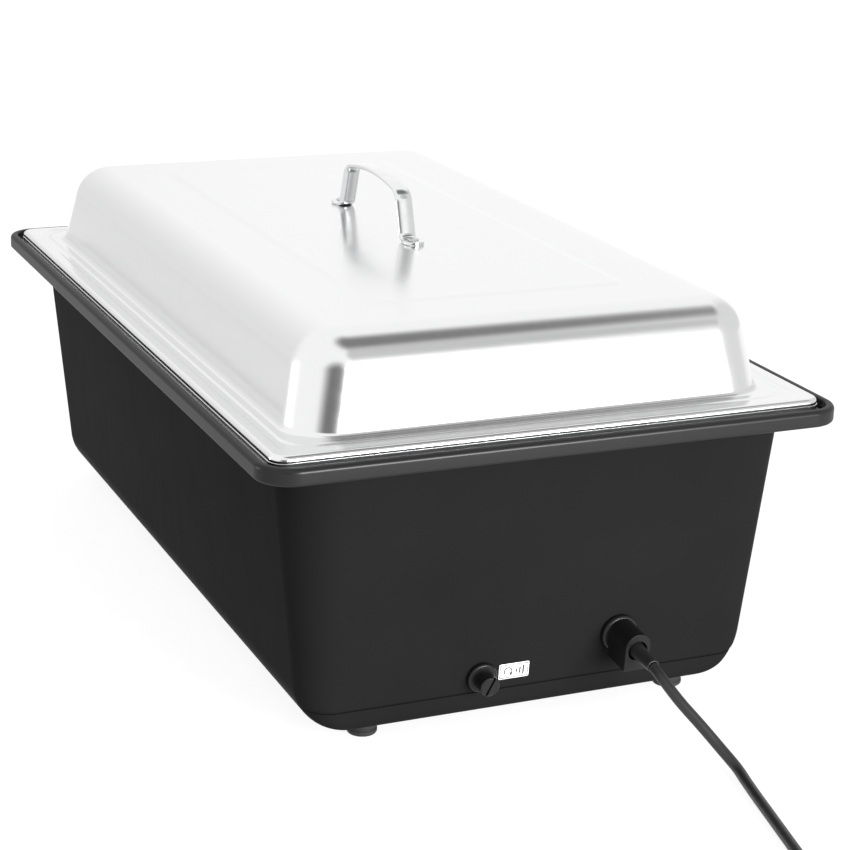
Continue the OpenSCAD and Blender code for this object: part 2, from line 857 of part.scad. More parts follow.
module gland_body() {
    color("#1e1e20") on_cord_wall(gland_y, gland_z) difference() {
        union() {
            rotate_extrude() polygon([
                [0, 0], [11, 0], [11, flange_t - 1], [10, flange_t], [0, flange_t]
            ]);
            translate([0, 0, -stem_in]) cylinder(r = gland_r, h = stem_in + eps);
        }
        translate([0, 0, -stem_in - eps])
            cylinder(r = bush_r, h = stem_in + flange_t + 2 * eps);
    }
}

module gland_nut() {
    color("#1e1e20") on_cord_wall(gland_y, gland_z) translate([0, 0, -wall - 6])
        difference() {
            hex(24, 6);
            translate([0, 0, -eps]) cylinder(r = gland_r, h = 6 + 2 * eps);
        }
}

module cord_clamp() {
    arch_r = 7.5;
    arch_x = -2.5;
    foot_at = 12;
    color("#1e1e20") on_cord_wall(gland_y, gland_z) difference() {
        translate([0, 0, flange_t]) union() {
            translate([arch_x, 0, 0]) cylinder(r = arch_r, h = clamp_out - flange_t);
            translate([arch_x, -arch_r, 0])
                cube([foot_at - arch_x, 2 * arch_r, clamp_out - flange_t]);
        }
        translate([0, 0, clamp_from]) cylinder(r = boot_r + 0.15, h = clamp_out);
        cylinder(r = bush_r, h = clamp_out);
        translate([6, 0, 16]) rotate([0, 90, 0]) cylinder(r = 2, h = 10);
    }
}

module clamp_screw() {
    color("#c8cacc") on_cord_wall(gland_y, gland_z) translate([6.2, 0, 16])
        rotate([0, 90, 0]) cylinder(r = 1.9, h = 5);
}

module cord_boot() {
    color("#202022") on_cord_wall(gland_y, gland_z) rotate_extrude() polygon([
        [0, boot_from], [boot_r, boot_from], [boot_r, 14], [4.3, clamp_out],
        [cord_d / 2 + 0.3, boot_out], [0, boot_out]
    ]);
}

// ---- Mains lead ----

// Route of the lead from the boot to the coil, then from the coil to the plug
run_route = [
    [291, 49.5, 43.3], [302, 50.8, 38.6], [313, 55, 30.6], [324, 62, 20.8], [335, 68.6, 11],
    [347, 71.8, 4.9], [361, 69.8, 3.1], [376, 66.4, 3.1], [392, 63, 3.1], [408, 59.6, 3.1],
    [424, 56.2, 3.1], [440, 52.8, 3.1], [456, 49.4, 3.1], [472, 46, 3.1], [488, 42.5, 3.3],
    [502, 39.6, 3.7]
];
tail_route = [
    [561.3, -28, 10.3], [561.3, -40, 10.2], [561.3, -52, 10.9], [561.3, -64, 13],
    [561.3, -76, 15.8], [561.3, -88, 18.2], [561.3, -100, 19]
];
coil_at = [515, -10.5];
coil_r = 37;
turns_across = 4;
layers = 2;
tie_t = 0.9;
coil_from = coil_r - turns_across * cord_d / 2 - 0.3;
coil_to = coil_r + turns_across * cord_d / 2 + 0.3;
coil_top = tie_t + layers * cord_d;
plug_r = 19;

module cord_run() { color("#2a2a2c") tube(run_route, cord_d); }
module cord_tail() { color("#2a2a2c") tube(tail_route, cord_d); }

module cord_coil() {
    color("#2a2a2c") translate([coil_at[0], coil_at[1], tie_t]) rotate_extrude()
        translate([coil_from, 0]) square([coil_to - coil_from, coil_top - tie_t]);
}

module cord_tie() {
    span = 16;
    color("#111113") translate([coil_at[0], coil_at[1], 0]) rotate([0, 0, 180 - span / 2])
        rotate_extrude(angle = span) difference() {
            translate([coil_from - tie_t, 0])
                square([coil_to - coil_from + 2 * tie_t, coil_top + tie_t]);
            translate([coil_from, tie_t]) square([coil_to - coil_from, coil_top - tie_t]);
        }
}

// The plug lies on its side beside the coil, its pins pointing along -Y
module at_plug() {
    translate([561.3, -100, plug_r]) rotate([90, 0, 0]) children();
}

module plug_body() {
    color("#1a1a1c") at_plug() rotate_extrude() polygon([
        [0, 0], [4.2, 0], [5.6, 14], [9, 17], [12, 22], [17.5, 28], [plug_r, 32],
        [plug_r, 44], [0, 44]
    ]);
}

module plug_pins() {
    pin_r = 2.4;
    color("#c9a24b") at_plug() for (s = [-1, 1])
        translate([s * 9.5, 0, 44]) {
            cylinder(r = pin_r, h = 17.5);
            translate([0, 0, 17.5]) cylinder(r1 = pin_r, r2 = 1.4, h = 1.5);
        }
}

housing();
base_plate();
base_screws();
foot_front_left();
foot_front_right();
foot_back_left();
foot_back_right();
foot_screws();
tank_gasket();
water_tank();
heat_spreader();
heating_element();
clamp_studs();
element_clamps();
clamp_nuts();
heat_shield();
thermostat_sensor();
limiter_sensor();
sensor_clips();
food_pan();
lid_shell();
lid_handle();
handle_rivets();
thermostat();
thermostat_screws();
thermostat_shaft();
knob();
dial_plate();
lamp_body();
lamp_lens();
lamp_nut();
limiter();
reset_nut();
reset_button();
cap_seal();
reset_cap();
reset_label();
terminal_block();
earth_stud();
internal_wires();
supply_tail();
gland_body();
gland_nut();
cord_clamp();
clamp_screw();
cord_boot();
cord_run();
cord_coil();
cord_tail();
cord_tie();
plug_body();
plug_pins();
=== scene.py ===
"""Looks of an electric steam table unit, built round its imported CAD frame."""

import json
from math import atan, ceil, cos, hypot, pi, radians, sin

import bmesh
import bpy
from mathutils import Matrix, Vector


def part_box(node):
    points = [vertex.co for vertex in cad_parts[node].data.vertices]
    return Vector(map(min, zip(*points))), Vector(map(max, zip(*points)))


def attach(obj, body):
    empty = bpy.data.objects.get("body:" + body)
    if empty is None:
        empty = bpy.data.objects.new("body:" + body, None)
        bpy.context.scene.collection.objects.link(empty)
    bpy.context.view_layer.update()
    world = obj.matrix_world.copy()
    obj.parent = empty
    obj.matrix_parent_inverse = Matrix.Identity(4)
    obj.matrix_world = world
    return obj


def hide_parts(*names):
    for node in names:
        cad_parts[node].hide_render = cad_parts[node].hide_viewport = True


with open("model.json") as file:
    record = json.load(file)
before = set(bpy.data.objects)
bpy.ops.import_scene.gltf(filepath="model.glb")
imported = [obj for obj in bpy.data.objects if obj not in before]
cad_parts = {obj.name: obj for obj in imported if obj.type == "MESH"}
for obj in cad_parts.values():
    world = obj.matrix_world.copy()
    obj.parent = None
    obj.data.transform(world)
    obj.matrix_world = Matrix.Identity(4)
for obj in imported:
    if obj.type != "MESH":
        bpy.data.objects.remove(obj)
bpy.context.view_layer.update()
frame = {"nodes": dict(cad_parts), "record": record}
cad = frame["nodes"]
scene = bpy.context.scene
MM = 0.001


def extent(node):
    """Lowest and highest corner of a CAD node, in millimetres."""
    low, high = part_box(node)
    return [v / MM for v in low], [v / MM for v in high]


# ---- Sizes of the object, in millimetres, as the CAD source has them ----

housing_low, housing_high = extent("housing")
pan_low, pan_high = extent("food_pan")
tank_low, tank_high = extent("water_tank")
lid_high = extent("lid_shell")[1]

RIM = (housing_high[0] - housing_low[0], housing_high[1] - housing_low[1])
PAN = (pan_high[0] - pan_low[0], pan_high[1] - pan_low[1])
TANK = (tank_high[0] - tank_low[0], tank_high[1] - tank_low[1])
FLOOR_Z = housing_low[2]
RIM_TOP = housing_high[2]
RIM_T = 9.5
RIM_Z = RIM_TOP - RIM_T
PAN_TOP = pan_high[2]
TANK_TOP = tank_high[2]
PANEL_H = 0.7
LID_TOP = lid_high[2] - PANEL_H
HEM_H = 4.3
FLANGE_TOP = PAN_TOP + HEM_H
END_OVERHANG = 17
SIDE_OVERHANG = 20
TAPER = 0.1
TILT = atan(TAPER)
WALL = 3
CORNER_R = 32
RIM_R = 20
LIP_W = 5
SHELF_H = 2.6
SHELF_Z = RIM_Z + SHELF_H
LEDGE_H = 14.5
LEDGE_Z = FLOOR_Z + LEDGE_H
LEDGE_IN = 0.7
END_BASE_R = 9
SIDE_BASE_R = 26
SHEET = 0.8
FOOT_X = 227.5
FOOT_Y = 96

GLAND_Y, GLAND_Z = 49.5, 47.5
LABEL_Y, LABEL_Z = -14, 32.5
CONTROL_Z = 47
LAMP_Y = 70

CORD_D = 6.2
COIL_AT = (515, -10.5)
COIL_IN = 27.7
COIL_OUT = 46.3
COIL_Z = 4
ENTRY_DEG = 78
RUN_ROUTE = [
    (291, 49.5, 43.3), (302, 50.8, 38.6), (313, 55, 30.6), (324, 62, 20.8), (335, 68.6, 11),
    (347, 71.8, 4.9), (361, 69.8, 3.1), (376, 66.4, 3.1), (392, 63, 3.1), (408, 59.6, 3.1),
    (424, 56.2, 3.1), (440, 52.8, 3.1), (456, 49.4, 3.1), (472, 46, 3.1), (488, 42.5, 3.3),
    (502, 39.6, 3.7),
]
TAIL_ROUTE = [
    (561.3, -28, 10.3), (561.3, -40, 10.2), (561.3, -52, 10.9), (561.3, -64, 13),
    (561.3, -76, 15.8), (561.3, -88, 18.2), (561.3, -100, 19),
]
PLUG_AT = (561.3, -100, 19)


def draft(z):
    """How far the tub's draft has moved its wall in at a height."""
    return TAPER * (RIM_Z - z)


def wall_x(z):
    return RIM[0] / 2 - END_OVERHANG - draft(z)


# ---- Camera ----


CAMERA_AT = (1.266, -0.5235, 0.5432)


def make_camera():
    """The camera by its place and its three angles, in metres and degrees."""
    data = bpy.data.cameras.new("camera")
    data.sensor_width = 36
    data.lens = 94.7
    data.shift_x = 0.0044
    data.shift_y = -0.0007
    data.clip_start = 0.05
    azimuth, elevation, roll = radians(66.2), radians(17.98), radians(1.68)
    back = Vector((sin(azimuth) * cos(elevation), -cos(azimuth) * cos(elevation), sin(elevation)))
    right = Vector((cos(azimuth), sin(azimuth), 0))
    up = back.cross(right)
    x_axis = right * cos(roll) + up * sin(roll)
    y_axis = up * cos(roll) - right * sin(roll)
    camera = bpy.data.objects.new("camera", data)
    scene.collection.objects.link(camera)
    turn = Matrix((x_axis, y_axis, back)).transposed().to_4x4()
    camera.matrix_world = Matrix.Translation(CAMERA_AT) @ turn
    scene.camera = camera


# ---- Mesh tools ----


def arc(cx, cz, r, a0, a1, n):
    """n + 1 points of a circular arc, with the angles in degrees."""
    turns = [radians(a0 + (a1 - a0) * i / n) for i in range(n + 1)]
    return [(cx + r * cos(a), cz + r * sin(a)) for a in turns]


def s_curve(p, q, n):
    """Points of a soft step from p to q, without p."""
    shares = [i / n for i in range(1, n + 1)]
    return [(p[0] + (q[0] - p[0]) * t, p[1] + (q[1] - p[1]) * t * t * (3 - 2 * t)) for t in shares]


def ring(size, inset, r, z, steps):
    """Rounded rectangle of points at one height, counter-clockwise from above."""
    half_l, half_w = size[0] / 2 - inset, size[1] / 2 - inset
    r = max(r, 0.5)
    points = []
    for sx, sy, start in ((1, 1, 0), (-1, 1, 90), (-1, -1, 180), (1, -1, 270)):
        for i in range(steps + 1):
            a = radians(start + 90 * i / steps)
            points.append((sx * (half_l - r) + r * cos(a), sy * (half_w - r) + r * sin(a), z))
    return points


def rings(size, profile, steps=14):
    """Rings for a profile of (inset, height, corner radius)."""
    return [ring(size, inset, r, z, steps) for inset, z, r in profile]


def with_radius(points, at, r):
    """Profile points whose corner radius shrinks as the inset grows past at."""
    return [(inset, z, r - (inset - at)) for inset, z in points]


def thickened(profile, t):
    """The profile moved t to its right-hand side, each corner radius with it."""
    moved = []
    last = len(profile) - 1
    for i, (inset, z, r) in enumerate(profile):
        a, b = profile[max(i - 1, 0)], profile[min(i + 1, last)]
        dx, dz = b[0] - a[0], b[1] - a[1]
        size = hypot(dx, dz)
        step = t * dz / size
        moved.append((inset + step, z - t * dx / size, max(r - step, 0.5)))
    return moved


def new_object(name, data, body, slot):
    """Links a piece, which rides on a body. Prints have a finish but no slot in the record."""
    piece = bpy.data.objects.new(name, data)
    scene.collection.objects.link(piece)
    data.materials.append(finish_of(slot))
    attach(piece, body)
    return piece


def finish_mesh(bm, name, body, slot, sharp=40, weighted=False):
    """Turns a bmesh in millimetres into a smooth-shaded piece that rides on a body."""
    bmesh.ops.recalc_face_normals(bm, faces=bm.faces)
    bmesh.ops.scale(bm, vec=(MM, MM, MM), verts=bm.verts)
    mesh = bpy.data.meshes.new(name)
    bm.to_mesh(mesh)
    bm.free()
    mesh.polygons.foreach_set("use_smooth", [True] * len(mesh.polygons))
    mesh.set_sharp_from_angle(angle=radians(sharp))
    piece = new_object(name, mesh, body, slot)
    if weighted:
        modifier = piece.modifiers.new("normals", "WEIGHTED_NORMAL")
        modifier.keep_sharp = True
    return piece


def skin(bm, loops, closed=False):
    """Quads through a list of rings. Without closed, the first and last rings are capped."""
    rows = [[bm.verts.new(p) for p in loop] for loop in loops]
    count = len(rows[0])
    for k in range(len(rows) if closed else len(rows) - 1):
        lower, upper = rows[k], rows[(k + 1) % len(rows)]
        for i in range(count):
            j = (i + 1) % count
            bm.faces.new((lower[i], lower[j], upper[j], upper[i]))
    if not closed:
        bm.faces.new(rows[0])
        bm.faces.new(rows[-1])


def lathe(bm, profile, place, segments=64):
    """A profile of (radius, height) turned round the local Z axis of a placement matrix."""
    rows = []
    for r, z in profile:
        if r < 1e-6:
            rows.append([bm.verts.new(place @ Vector((0, 0, z)))])
            continue
        turns = [2 * pi * i / segments for i in range(segments)]
        rows.append([bm.verts.new(place @ Vector((r * cos(a), r * sin(a), z))) for a in turns])
    for a, b in zip(rows, rows[1:]):
        for i in range(segments):
            j = (i + 1) % segments
            corners = [a[i % len(a)], a[j % len(a)], b[j % len(b)], b[i % len(b)]]
            unique = list(dict.fromkeys(corners))
            if len(unique) > 2:
                bm.faces.new(unique)


def rounded(outline, r, n=4):
    """The outline's points with every marked corner cut to a small round of radius r."""
    result = []
    last = len(outline) - 1
    for i, (x, z, keep) in enumerate(outline):
        if keep or i in (0, last):
            result.append((x, z))
            continue
        here = Vector((x, z))
        before = Vector(outline[i - 1][:2]) - here
        after = Vector(outline[i + 1][:2]) - here
        cut = min(r, before.length / 2, after.length / 2)
        start, end = here + before.normalized() * cut, here + after.normalized() * cut
        for k in range(n + 1):
            t = k / n
            p = start * (1 - t) ** 2 + here * 2 * t * (1 - t) + end * t * t
            result.append((p.x, p.y))
    return result


def turned(name, outline, place, body, slot, edge=0.5, nodes=(), segments=64):
    """A lathe piece with rounded edges. Each outline point is (radius, height, stays sharp)."""
    bm = bmesh.new()
    lathe(bm, rounded(outline, edge), place, segments)
    piece = finish_mesh(bm, name, body, slot)
    if nodes:
        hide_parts(*nodes)
    return piece


def frame_at(origin, z_axis, x_axis):
    """Placement matrix with the given local Z and X directions, in millimetres."""
    z_axis, x_axis = Vector(z_axis).normalized(), Vector(x_axis).normalized()
    y_axis = z_axis.cross(x_axis)
    turn = Matrix((x_axis, y_axis, z_axis)).transposed().to_4x4()
    return Matrix.Translation(origin) @ turn


def on_cord_wall(y, z):
    """Local Z leaves the cord wall, and local X points down it."""
    return frame_at((wall_x(z), y, z), (cos(TILT), 0, -sin(TILT)), (-sin(TILT), 0, -cos(TILT)))


def on_control_wall(y, z):
    """Local Z leaves the control wall, and local X points up it."""
    return frame_at((-wall_x(z), y, z), (-cos(TILT), 0, -sin(TILT)), (-sin(TILT), 0, cos(TILT)))


def rounded_copy(node, name, body, slot, width, segments=2):
    """A CAD node's own shape with its sharp edges rounded, which then stands for it."""
    bm = bmesh.new()
    bm.from_mesh(cad[node].data)
    bmesh.ops.scale(bm, vec=(1 / MM,) * 3, verts=bm.verts)
    bmesh.ops.remove_doubles(bm, verts=bm.verts, dist=0.002)
    bmesh.ops.dissolve_limit(bm, angle_limit=radians(1), verts=bm.verts, edges=bm.edges)
    sharp = radians(38)
    edges = [e for e in bm.edges if len(e.link_faces) == 2 and e.calc_face_angle() > sharp]
    bmesh.ops.bevel(
        bm, geom=edges, offset=width, segments=segments, profile=0.5,
        affect="EDGES", clamp_overlap=True,
    )
    piece = finish_mesh(bm, name, body, slot, sharp=50, weighted=True)
    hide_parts(node)
    return piece


# ---- Materials ----


def start(name):
    material = bpy.data.materials.new(name)
    material.use_nodes = True
    tree = material.node_tree
    return material, tree, tree.nodes["Principled BSDF"]


def object_place(tree, stretch=(1, 1, 1)):
    """The point in the object's own frame, stretched."""
    where = tree.nodes.new("ShaderNodeTexCoord")
    mapping = tree.nodes.new("ShaderNodeMapping")
    mapping.inputs["Scale"].default_value = stretch
    tree.links.new(where.outputs["Object"], mapping.inputs["Vector"])
    return mapping.outputs["Vector"]


def coordinate(tree, axis):
    """One coordinate of the point in the object's own frame, in metres."""
    split = tree.nodes.new("ShaderNodeSeparateXYZ")
    tree.links.new(object_place(tree), split.inputs["Vector"])
    return split.outputs[axis]


def noise(tree, scale, stretch=(1, 1, 1), detail=3, rough=0.5):
    node = tree.nodes.new("ShaderNodeTexNoise")
    node.inputs["Scale"].default_value = scale
    node.inputs["Detail"].default_value = detail
    node.inputs["Roughness"].default_value = rough
    tree.links.new(object_place(tree, stretch), node.inputs["Vector"])
    return node.outputs["Fac"]


def spread(tree, value, low, high, from_low=0.3, from_high=0.7):
    """Maps a value's middle range to low..high."""
    node = tree.nodes.new("ShaderNodeMapRange")
    node.inputs["From Min"].default_value = from_low
    node.inputs["From Max"].default_value = from_high
    node.inputs["To Min"].default_value = low
    node.inputs["To Max"].default_value = high
    tree.links.new(value, node.inputs["Value"])
    return node.outputs["Result"]


def tones(tree, value, dark, light, low=0.3, high=0.7):
    """A colour between dark and light by a value."""
    node = tree.nodes.new("ShaderNodeValToRGB")
    node.color_ramp.elements[0].position = low
    node.color_ramp.elements[1].position = high
    node.color_ramp.elements[0].color = (*dark, 1)
    node.color_ramp.elements[1].color = (*light, 1)
    tree.links.new(value, node.inputs["Fac"])
    return node.outputs["Color"]


def bumps(tree, shader, layers):
    """Chained bumps from (height, distance in metres, strength)."""
    normal = None
    for height, distance, strength in layers:
        node = tree.nodes.new("ShaderNodeBump")
        node.inputs["Distance"].default_value = distance
        node.inputs["Strength"].default_value = strength
        tree.links.new(height, node.inputs["Height"])
        if normal is not None:
            tree.links.new(normal, node.inputs["Normal"])
        normal = node.outputs["Normal"]
    tree.links.new(normal, shader.inputs["Normal"])


def shades(colour, share):
    """A darker and a lighter form of a colour."""
    dark = tuple(c * (1 - share) for c in colour)
    light = tuple(min(c * (1 + share), 1) for c in colour)
    return dark, light


def moulded(name, colour, rough=0.42, grain=0.9, share=0.12, level=0.5, coat=0.0):
    """Moulded plastic or rubber: fine grain, a cloudy tone and gloss with faint handling marks."""
    material, tree, shader = start(name)
    cloud = noise(tree, 14, detail=4)
    fine = noise(tree, 1400, detail=2)
    marks = noise(tree, 160, (1, 1, 0.2), 5, 0.65)
    tree.links.new(tones(tree, cloud, *shades(colour, share)), shader.inputs["Base Color"])
    tree.links.new(spread(tree, marks, rough - 0.03, rough + 0.04), shader.inputs["Roughness"])
    shader.inputs["Specular IOR Level"].default_value = level
    shader.inputs["Coat Weight"].default_value = coat
    bumps(tree, shader, [(fine, 0.00005 * grain, 0.5), (cloud, 0.0004, 0.04)])
    return material


def tub_plastic(name, colour):
    """The tub's moulding: matt walls under a glossier rim."""
    material = moulded(name, colour, rough=0.3, grain=0.8, share=0.06, level=0.001)
    tree = material.node_tree
    shader = tree.nodes["Principled BSDF"]
    rim_coat, fade = 0.45, 0.4
    low, high = (RIM_Z - fade) * MM, (RIM_Z + fade) * MM
    gloss = spread(tree, coordinate(tree, "Z"), 0, rim_coat, low, high)
    tree.links.new(gloss, shader.inputs["Coat Weight"])
    shader.inputs["Coat Roughness"].default_value = 0.3
    return material


def brushed(name, colour, rough=0.3, along="x", depth=0.3, share=0.06, waves=0.05, vary=0.055):
    """Brushed or drawn metal: long fine scratches along one axis over a slightly wavy sheet."""
    stretch = {"x": (0.02, 1, 1), "y": (1, 0.02, 1), "z": (1, 1, 0.02), "": (1, 1, 1)}[along]
    material, tree, shader = start(name)
    lines = noise(tree, 1500, stretch, 3, 0.6)
    broad = noise(tree, 330, stretch, 2)
    cloud = noise(tree, 9, detail=3)
    tree.links.new(tones(tree, lines, *shades(colour, share)), shader.inputs["Base Color"])
    tree.links.new(spread(tree, broad, rough - vary, rough + vary), shader.inputs["Roughness"])
    shader.inputs["Metallic"].default_value = 1
    bumps(tree, shader, [(lines, 0.00003, depth), (cloud, 0.0012, waves)])
    return material


def polished(name, colour, rough=0.06):
    """Bright plated metal with faint wiping marks."""
    material, tree, shader = start(name)
    wipe = noise(tree, 240, (0.3, 1, 1), 4, 0.6)
    tree.links.new(tones(tree, wipe, *shades(colour, 0.03)), shader.inputs["Base Color"])
    tree.links.new(spread(tree, wipe, rough - 0.02, rough + 0.05), shader.inputs["Roughness"])
    shader.inputs["Metallic"].default_value = 1
    bumps(tree, shader, [(wipe, 0.00002, 0.15)])
    return material


def galvanised(name, colour):
    """Zinc-coated sheet with its crystal pattern."""
    material, tree, shader = start(name)
    flakes = tree.nodes.new("ShaderNodeTexVoronoi")
    flakes.inputs["Scale"].default_value = 140
    tree.links.new(object_place(tree), flakes.inputs["Vector"])
    split = tree.nodes.new("ShaderNodeSeparateColor")
    tree.links.new(flakes.outputs["Color"], split.inputs["Color"])
    grey = split.outputs["Red"]
    tree.links.new(tones(tree, grey, *shades(colour, 0.18), 0, 1), shader.inputs["Base Color"])
    tree.links.new(spread(tree, grey, 0.32, 0.5, 0, 1), shader.inputs["Roughness"])
    shader.inputs["Metallic"].default_value = 1
    bumps(tree, shader, [(noise(tree, 500), 0.00003, 0.3)])
    return material


def tinted_lens(name, colour):
    """Clear tinted plastic over fine inner ribs."""
    material, tree, shader = start(name)
    ribs = tree.nodes.new("ShaderNodeTexWave")
    ribs.inputs["Scale"].default_value = 260
    tree.links.new(object_place(tree), ribs.inputs["Vector"])
    tone = tones(tree, ribs.outputs["Fac"], *shades(colour, 0.25))
    tree.links.new(tone, shader.inputs["Base Color"])
    shader.inputs["Roughness"].default_value = 0.08
    shader.inputs["Transmission Weight"].default_value = 0.45
    shader.inputs["Coat Weight"].default_value = 0.6
    bumps(tree, shader, [(ribs.outputs["Fac"], 0.0001, 0.25)])
    return material


def woven(name, colour):
    """Hook-and-loop tape: a tight crossed weave with fuzz."""
    material, tree, shader = start(name)
    warp = tree.nodes.new("ShaderNodeTexWave")
    warp.inputs["Scale"].default_value = 420
    tree.links.new(object_place(tree), warp.inputs["Vector"])
    fuzz = noise(tree, 1800, detail=4)
    tree.links.new(tones(tree, fuzz, *shades(colour, 0.5)), shader.inputs["Base Color"])
    shader.inputs["Roughness"].default_value = 0.95
    shader.inputs["Sheen Weight"].default_value = 0.4
    bumps(tree, shader, [(warp.outputs["Fac"], 0.00015, 0.6), (fuzz, 0.0001, 0.5)])
    return material


def heated_sheath(name, brown, straw):
    """Steel sheath that heat has tinted in bands."""
    material, tree, shader = start(name)
    bands = noise(tree, 22, (1, 0.4, 1), 4)
    tree.links.new(tones(tree, bands, brown, straw), shader.inputs["Base Color"])
    tree.links.new(spread(tree, bands, 0.38, 0.55), shader.inputs["Roughness"])
    shader.inputs["Metallic"].default_value = 0.85
    bumps(tree, shader, [(noise(tree, 700), 0.00004, 0.4)])
    return material


def finish(make, *colours, **looks):
    """A maker of one material, which takes the material's name later."""
    return lambda name: make(name, *colours, **looks)


FINISHES = {
    "black_plastic": finish(tub_plastic, (0.0125, 0.0125, 0.013)),
    "fitting_plastic": finish(
        moulded, (0.006, 0.006, 0.0065), rough=0.38, grain=0.7, share=0.15, level=0.3
    ),
    "knob_plastic": finish(
        moulded, (0.012, 0.012, 0.013), rough=0.24, grain=0.5, share=0.1, coat=0.3
    ),
    "plug_plastic": finish(moulded, (0.016, 0.016, 0.016), rough=0.5, grain=1.2),
    "cord_pvc": finish(moulded, (0.014, 0.014, 0.015), rough=0.42, grain=0.6),
    "wire_insulation": finish(moulded, (0.2, 0.07, 0.03), rough=0.5, grain=0.6),
    "switch_body": finish(moulded, (0.66, 0.63, 0.56), rough=0.5, grain=1.2, share=0.05),
    "label_white": finish(moulded, (0.86, 0.86, 0.85), rough=0.35, grain=0.2, share=0.02),
    "button_red": finish(moulded, (0.5, 0.02, 0.015), rough=0.25, grain=0.3),
    "lamp_amber": finish(tinted_lens, (0.8, 0.28, 0.03)),
    "foot_rubber": finish(
        moulded, (0.02, 0.02, 0.021), rough=0.72, grain=2.2, share=0.2, level=0.35
    ),
    "seal_rubber": finish(
        moulded, (0.018, 0.018, 0.018), rough=0.75, grain=1.5, share=0.2, level=0.3
    ),
    "silicone": finish(moulded, (0.12, 0.12, 0.125), rough=0.55, grain=0.8, share=0.1),
    "tie_fabric": finish(woven, (0.014, 0.014, 0.015)),
    "lid_steel": finish(
        brushed, (0.84, 0.843, 0.846), rough=0.18, depth=0.03, share=0.012, waves=0.004, vary=0.01
    ),
    "pan_steel": finish(
        brushed, (0.74, 0.745, 0.75), rough=0.24, depth=0.06, share=0.03, waves=0.03, vary=0.025
    ),
    "tank_steel": finish(
        brushed, (0.6, 0.605, 0.61), rough=0.32, depth=0.08, share=0.04, vary=0.03
    ),
    "handle_chrome": finish(polished, (0.82, 0.825, 0.83), rough=0.07),
    "zinc_steel": finish(
        brushed, (0.62, 0.63, 0.64), rough=0.28, along="", depth=0.2, share=0.08, waves=0
    ),
    "zinc_sheet": finish(galvanised, (0.56, 0.57, 0.58)),
    "aluminium": finish(
        brushed, (0.77, 0.78, 0.79), rough=0.34, along="y", depth=0.25, share=0.05
    ),
    "dial_metal": finish(
        brushed, (0.75, 0.76, 0.77), rough=0.3, along="y", depth=0.25, share=0.05, waves=0
    ),
    "element_sheath": finish(heated_sheath, (0.1, 0.07, 0.055), (0.34, 0.26, 0.17)),
    "copper": finish(brushed, (0.72, 0.36, 0.2), rough=0.3, depth=0.15, share=0.12, waves=0),
    "brass": finish(
        brushed, (0.76, 0.56, 0.24), rough=0.28, along="", depth=0.2, share=0.08, waves=0
    ),
    "pin_metal": finish(
        brushed, (0.74, 0.71, 0.63), rough=0.2, along="y", depth=0.15, share=0.05, waves=0
    ),
    "print_black": finish(moulded, (0.01, 0.01, 0.011), rough=0.4, grain=0.2),
    "print_white": finish(moulded, (0.8, 0.8, 0.79), rough=0.4, grain=0.2, share=0.03),
}
made_finishes = {}


def finish_of(slot):
    if slot not in made_finishes:
        made_finishes[slot] = FINISHES[slot](slot)
    return made_finishes[slot]


def finish_cad_nodes():
    """Every CAD node takes the finish of its material slot."""
    for part in frame["record"]["subparts"]:
        mesh = cad[part["node"]].data
        mesh.materials.clear()
        mesh.materials.append(finish_of(part["material_slot"]))


# ---- Tub ----


def edge_in(r, h):
    """How far a rounded bottom edge has curved in at height h above its lowest point."""
    return r - max(h * (2 * r - h), 0) ** 0.5 if h < r else 0


def wall_ring(z, t=0, end_step=0, steps=16):
    """Outline of the tub's wall at a height, for a face t inside the outer one."""
    end_in = edge_in(END_BASE_R - t, z - FLOOR_Z - t)
    side_in = edge_in(SIDE_BASE_R - t, z - FLOOR_Z - t)
    size = (
        2 * (wall_x(z) - t - end_step - end_in),
        RIM[1] - 2 * (SIDE_OVERHANG + draft(z) + t + side_in),
    )
    return ring(size, 0, max(CORNER_R - draft(z) - t - 0.4 * side_in, 2), z, steps)


def tub_outside():
    """Outer rings of the tub's wall, from its floor up to the rim's underside."""
    low = [FLOOR_Z + SIDE_BASE_R * (i / 20) ** 2 for i in range(21)]
    groove_h, groove_in, edge_h, clear = 1.2, LEDGE_IN + 0.9, 2, 0.4
    groove_top = LEDGE_Z + groove_h
    below = [wall_ring(z, end_step=LEDGE_IN) for z in low if z < LEDGE_Z - clear]
    crease = [
        wall_ring(z, end_step=step) for z, step in (
            (LEDGE_Z, LEDGE_IN), (LEDGE_Z + 0.15, groove_in), (groove_top - 0.1, groove_in),
            (groove_top, LEDGE_IN + 0.5), (groove_top + 0.4, LEDGE_IN * 0.3),
            (groove_top + edge_h, 0),
        )
    ]
    above = [wall_ring(z) for z in low if z > groove_top + edge_h + clear]
    return below + crease + above + [wall_ring(z) for z in (RIM_Z - 60, RIM_Z - 4, RIM_Z)]


def rim_profile():
    """The rim's skirt, its raised lip and the shelf inside it."""
    skirt_r, crown_r, lip_r = 1.6, 2.5, 1.2
    skirt = arc(skirt_r, RIM_Z + skirt_r, skirt_r, 270, 180, 5)
    crown = arc(crown_r, RIM_TOP - crown_r, crown_r, 180, 90, 8)
    lip = arc(LIP_W - lip_r, RIM_TOP - lip_r, lip_r, 90, 0, 5)
    return with_radius(skirt + crown + lip + [(LIP_W, SHELF_Z)], 0, RIM_R)


